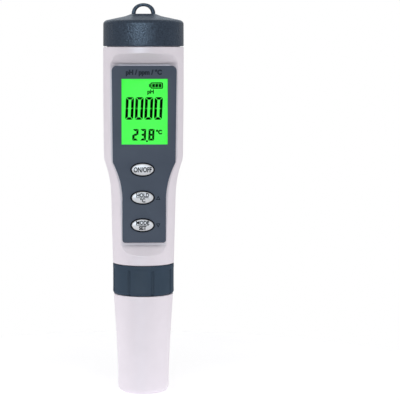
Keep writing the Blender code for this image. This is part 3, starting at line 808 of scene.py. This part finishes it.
def make_print():
    """Generic words and marks in dark ink: what is measured, and what each key does."""
    front = PLATE_FRONT
    lettering("header_print", "pH / ppm / °C", -0.2, 150.85, 2.05, front, "meter_body", INK, 0.19, 0.97)
    for name in KEYS:
        make_key_print(name)
    for name, way in (("hold", 1), ("mode", -1)):
        z = KEY_Z[name] - 0.1
        arrow = [triangle(z, 1.05, 0.95, 1.05, way), triangle(z, 0.45, 0.6, 0.25, way)]
        flat_shape(name + "_mark", arrow, front, front - INK_THICKNESS, "meter_body", INK)


# ---------------------------------------------------------------- display

DIGITS = {"0": "abcdef", "2": "abged", "3": "abgcd", "8": "abcdefg"}
SLANT = math.tan(math.radians(2.6))
MARK_FRONT = LCD_LOW.y - 0.01
BIG_LEFT, BIG_PITCH = -8.75, 4.44
BIG_DIGIT = dict(bottom=129.05, width=3.75, height=10.45, stroke=1.27, gap=0.08, notch=0.2, clip=0.26)
SMALL_DIGITS = (("2", -5.45), ("3", -1.9), ("8", 1.95))
SMALL_DIGIT = dict(bottom=119.35, width=2.75, height=5.35, stroke=1.0, gap=0.04, notch=0.5, clip=0.1)


def segments(width, height, stroke, gap, notch, clip):
    """The seven bars of one digit about its lower left corner, with clipped outer corners."""
    half_gap, half, middle = gap / 2, stroke / 2, height / 2
    corner, above = half_gap + clip, middle + half_gap
    inner_left, inner_right, under = stroke + half_gap, width - stroke - half_gap, height - stroke
    top = [(corner, height), (width - corner, height), (inner_right, under + clip / 2),
           (inner_left, under + clip / 2)]
    upper_right = [(width, height - corner), (width, above), (width - half, above),
                   (width - stroke, above + notch), (width - stroke, under - half_gap)]
    across = [(half + half_gap, middle), (inner_left, middle + half), (inner_right, middle + half),
              (width - half - half_gap, middle), (inner_right, middle - half),
              (inner_left, middle - half)]

    def flipped(points):
        return [(x, height - z) for x, z in points]

    def mirrored(points):
        return [(width - x, z) for x, z in points]

    return {"a": top, "b": upper_right, "c": flipped(upper_right), "d": flipped(top),
            "e": mirrored(flipped(upper_right)), "f": mirrored(upper_right), "g": across}


def digit(name, figure, left, bottom, **sizes):
    bars = segments(**sizes)
    display_mark(name, [[(left + x + SLANT * z, bottom + z) for x, z in bars[key]]
                        for key in DIGITS[figure]])


def display_mark(name, outlines):
    flat_shape(name, outlines, MARK_FRONT, MARK_FRONT - INK_THICKNESS, "meter_body", SEGMENT)


def make_display():
    """Lit face, four big digits, three small ones, units and a battery mark."""
    outline = rounded_rect(LCD_LOW.x, LCD_HIGH.x, LCD_LOW.z, LCD_HIGH.z, 0.3)
    face = prism([upright(outline, LCD_HIGH.y), upright(outline, LCD_LOW.y)])
    add_mesh("display_face", face, "meter_body", DISPLAY, ["lcd_glass"])
    for i in range(4):
        digit("digit_%d" % (i + 1), "0", BIG_LEFT + BIG_PITCH * i, **BIG_DIGIT)
    for i, (figure, left) in enumerate(SMALL_DIGITS):
        digit("small_digit_%d" % (i + 1), figure, left, **SMALL_DIGIT)
    display_mark("decimal_point", [rounded_rect(0.95, 1.85, 118.6, 119.5, 0.3, 3)])
    lettering("unit_degrees", "°C", 7.0, 123.3, 1.75, MARK_FRONT, "meter_body", SEGMENT, 0.17)
    lettering("unit_ph", "pH", 3.1, 141.8, 1.75, MARK_FRONT, "meter_body", SEGMENT, 0.12)
    make_battery_mark(3.0, 8.85, 143.45, 146.35)


def make_battery_mark(left, right, bottom, top):
    """A hollow battery with its tip to the left and three full bars."""
    outline = rounded_rect(left, right, bottom, top, 0.6)
    hollow = rounded_rect(left + 0.5, right - 0.5, bottom + 0.5, top - 0.5, 0.25)
    tip = rounded_rect(left - 0.65, left - 0.05, bottom + 0.75, top - 0.75, 0.15, 3)
    bars = [rounded_rect(x, x + 1.3, bottom + 0.7, top - 0.7, 0.1, 2)
            for x in (left + 0.8 + 1.5 * i for i in range(3))]
    display_mark("battery_mark", [outline, hollow, tip, *bars])


# ---------------------------------------------------------------- sensors and inner parts

SKIRT_R, SKIRT_BORE, SKIRT_CEILING = 10.9, 9.3, 34.0
SPIGOT_R = 10.6
SPIGOT_GROOVE = (9.3, 55.2, 57.0)     # radius, bottom and top, and the same for the next two
FLANGE = (12.7, 49.3, 51.1)
SKIRT_GROOVE = (9.8, 41.6, 43.2)
GUARD_SLOT = (2.5, 14, 28)            # half width, bottom and top
SENSOR_BORE = (53, 30)                # top and bottom
PLUG_POCKET = (6.6, 62, 58.4)         # radius, top and bottom
SENSORS = ("ph_electrode", "reference_junction", "tds_pin_1", "tds_pin_2", "temperature_probe")
STEM_R = 3.0
BULB_R = 3.55


def make_rings():
    """O-rings, round in section."""
    for name, minor, body in (("neck_seal", 0.6, "meter_body"), ("module_seal", 0.6, "electrode_module"),
                              ("cap_seal", 0.55, "electrode_module")):
        low, high = span(name)
        major, middle = high.x - minor, (low.z + high.z) / 2
        section = [(major + minor * math.cos(a), middle + minor * math.sin(a))
                   for a in angles(0, TAU, 16)[:-1]]
        add_mesh(name + "_ring", revolve(section, 96, closed=True), body, RUBBER, [name])


def make_module():
    """Module housing with its guard skirt, slotted so that water reaches the sensors."""
    top, low = HOLDER_HIGH.z, HOLDER_LOW.z
    upper_r, upper_low, upper_top = SPIGOT_GROOVE
    flange_r, flange_low, flange_top = FLANGE
    lower_r, lower_low, lower_top = SKIRT_GROOVE
    spigot = [(SPIGOT_R - 1, top), (SPIGOT_R, top, 0.5), (SPIGOT_R, upper_top), (upper_r, upper_top, 0.2),
              (upper_r, upper_low, 0.2), (SPIGOT_R, upper_low), (SPIGOT_R, flange_top, 0.2)]
    flange = [(flange_r, flange_top, 0.3), (flange_r, flange_low, 0.3), (SKIRT_R, flange_low, 0.2)]
    skirt = [(SKIRT_R, lower_top), (lower_r, lower_top, 0.2), (lower_r, lower_low, 0.2),
             (SKIRT_R, lower_low), (SKIRT_R, low, 0.6), (SKIRT_BORE, low, 0.6),
             (SKIRT_BORE, SKIRT_CEILING, 1.0), (8.0, SKIRT_CEILING)]
    outside = rounded(spigot + flange + skirt, steps=4)
    shape = revolve([(0, top), *outside, (0, SKIRT_CEILING)], 120)
    holder = add_mesh("guard", shape, "electrode_module", GUARD, ["electrode_holder"],
                      40)
    for turn in (0, TAU / 4):
        slot = slot_cutter(*GUARD_SLOT)
        slot.rotation_euler = (0, 0, turn)
        cut(holder, slot)
    for name in SENSORS:
        lowest, highest = span(name)
        middle = (lowest + highest) / 2
        radius = STEM_R if name == "ph_electrode" else (highest.x - lowest.x) / 2
        cut(holder, plug(radius + GAP, *SENSOR_BORE, 32, middle.x, middle.y))
    cut(holder, plug(*PLUG_POCKET, 48))


def plug(radius, top, low, count, x=0.0, y=0.0):
    """A plain cylinder that cuts a bore or a pocket."""
    return add_plain("plug", revolve([(0, top), (radius, top), (radius, low), (0, low)], count, x, y))


def slot_cutter(half_width, bottom, top):
    """A long slot with round ends, right across the skirt along X."""
    outline = rounded_rect(-half_width, half_width, bottom, top, half_width - 0.01, 10)
    return add_plain("slot", prism([[Vector((x, y, z)) for y, z in outline] for x in (20, -20)]))


def make_sensors():
    """Glass pH bulb on its stem, ceramic junction, two pins and the temperature probe."""
    low, high = span("ph_electrode")
    middle = (low + high) / 2
    centre = low.z + BULB_R
    bulb = [(BULB_R * math.sin(a), centre - BULB_R * math.cos(a))
            for a in angles(0, math.radians(165), 20)]
    ball = [(r, z) for r, z in bulb if r > 0 and (z < centre or r > STEM_R)]
    profile = [(0, low.z), *ball, (STEM_R, centre + 3.2), (STEM_R, high.z), (0, high.z)]
    add_mesh("ph_bulb", revolve(profile, 48, middle.x, middle.y), "electrode_module", BULB,
             ["ph_electrode"], 60)
    for name in SENSORS[1:]:
        ceramic = name == "reference_junction"
        low, high = span(name)
        middle = (low + high) / 2
        radius = (high.x - low.x) / 2
        tip = [(radius * math.sin(a), low.z + radius - radius * math.cos(a))
               for a in angles(0, TAU / 4, 8)]
        shape = revolve([*tip, (radius, high.z), (0, high.z)], 32, middle.x, middle.y)
        add_mesh(name + "_tip", shape, "electrode_module", CERAMIC if ceramic else STEEL, [name],
                 50)


def finish_nodes():
    """The inner CAD nodes keep their shape and get their own finish."""
    looks = {BLACK: ["microcontroller", "amplifier_chip", "battery_holder", "electrode_socket",
                     "lcd_frame", "power_plunger", "hold_plunger", "mode_plunger"],
             STEEL: ["crystal_can", "power_switch", "hold_switch", "mode_switch", "board_screw_1",
                     "board_screw_2", "board_screw_3", "board_screw_4", "battery_cell_1",
                     "battery_cell_2", "battery_cell_3", "cap_spring"],
             GOLD: ["lower_contact", "cap_contact_plate", "plug_contacts"],
             RUBBER: ["zebra_strip"], BOARD: ["main_board"],
             NATURAL: ["inner_chassis", "backlight_panel"]}
    for material, names in looks.items():
        for name in names:
            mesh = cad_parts[name].data
            mesh.materials.clear()
            mesh.materials.append(material)


# ---------------------------------------------------------------- stage, lights and camera

FLOOR_RADIUS = 170.0
FLOOR_DROP = 0.1             # keeps the floor clear of the cover's underside
FLOOR_GLOW = 0.34
SKY_LIGHT = 0.47
LIGHT_BLUE = (0.72, 0.86, 1.0)
CAMERA_PLACE = (-24.0, -800.0, 162.7)
CAMERA_AIM = (0.0, 0.0, 90.8)
CAMERA_LENS = 153.2
CAMERA_SHIFT = 0.1414


def make_stage():
    """A pale round floor with a faint glow of its own."""
    shape = bmesh.new()
    bmesh.ops.create_circle(shape, cap_ends=True, segments=96, radius=FLOOR_RADIUS * MM)
    mesh = bpy.data.meshes.new("floor")
    shape.to_mesh(mesh)
    shape.free()
    floor = bpy.data.objects.new("floor", mesh)
    floor.location.z = -FLOOR_DROP * MM
    bpy.context.scene.collection.objects.link(floor)
    paint = Finish("floor_paint", 0.9, specular=0.1, Emission_Strength=FLOOR_GLOW)
    paint.set("Emission Color", (1, 1, 1, 1))
    paint.colour((0.93, 0.93, 0.94), (0.95, 0.95, 0.96), paint.noise(0.02, 1.0))
    mesh.materials.append(paint.material)


def make_world():
    """White to the camera, and a softer grey to the object's own surfaces."""
    world = bpy.data.worlds.new("studio")
    bpy.context.scene.world = world
    world.use_nodes = True
    nodes, links = world.node_tree.nodes, world.node_tree.links
    soft, seen = nodes["Background"], nodes.new("ShaderNodeBackground")
    for shader, strength in ((soft, SKY_LIGHT), (seen, 1.0)):
        shader.inputs["Color"].default_value = (1, 1, 1, 1)
        shader.inputs["Strength"].default_value = strength
    path = nodes.new("ShaderNodeLightPath")
    mix = nodes.new("ShaderNodeMixShader")
    links.new(path.outputs["Is Camera Ray"], mix.inputs["Fac"])
    links.new(soft.outputs["Background"], mix.inputs[1])
    links.new(seen.outputs["Background"], mix.inputs[2])
    links.new(mix.outputs["Shader"], nodes["World Output"].inputs["Surface"])


def softbox(name, place, aim, size, power, tint=(1, 1, 1), matt=True, shine=True):
    """A rectangular light in metres; it can be kept out of the matt shading or the reflections."""
    light = bpy.data.lights.new(name, "AREA")
    light.shape = "RECTANGLE"
    light.size, light.size_y = size
    light.energy = power
    light.color = tint
    lamp = bpy.data.objects.new(name, light)
    lamp.location = place
    lamp.rotation_euler = (Vector(aim) - Vector(place)).to_track_quat("-Z", "Y").to_euler()
    lamp.visible_diffuse = matt
    lamp.visible_glossy = shine
    bpy.context.scene.collection.objects.link(lamp)


def make_lights():
    """Large boxes for the matt shading; two bluish ones only for the sheen on the dark cap."""
    middle, crown = (0, 0, 0.1), (0, 0, 0.17)
    softbox("left_box", (-1.0, 0.1, 0.25), middle, (0.6, 0.9), 3.6, shine=False)
    softbox("right_box", (0.95, -0.22, 0.3), middle, (0.5, 0.9), 2.6, shine=False)
    softbox("top_box", (0, -0.6, 1.0), middle, (0.9, 0.6), 2.5)
    softbox("front_box", (-0.22, -0.95, 0.3), crown, (0.45, 0.24), 24.0, LIGHT_BLUE, matt=False)
    softbox("back_box", (0, 1.0, 0.65), crown, (1.2, 0.5), 1.5, LIGHT_BLUE, matt=False)


def make_camera():
    """Level with the battery cap; a sideways shift leaves the pen left of centre, still upright."""
    data = bpy.data.cameras.new("camera")
    data.lens = CAMERA_LENS
    data.sensor_width = 36
    data.shift_x = CAMERA_SHIFT
    data.clip_start = 0.01
    camera = bpy.data.objects.new("camera", data)
    camera.location = Vector(CAMERA_PLACE) * MM
    aim = Vector(CAMERA_AIM) * MM
    camera.rotation_euler = (aim - camera.location).to_track_quat("-Z", "Y").to_euler()
    bpy.context.scene.collection.objects.link(camera)
    bpy.context.scene.camera = camera
    bpy.context.scene.view_settings.view_transform = "Standard"


# ---------------------------------------------------------------- all of it

make_shell()
make_threads()
make_lid()
make_collar()
make_cover()
make_panel()
for key_name in KEYS:
    make_key(key_name)
make_print()
make_display()
make_rings()
make_module()
make_sensors()
finish_nodes()
make_stage()
make_world()
make_lights()
make_camera()
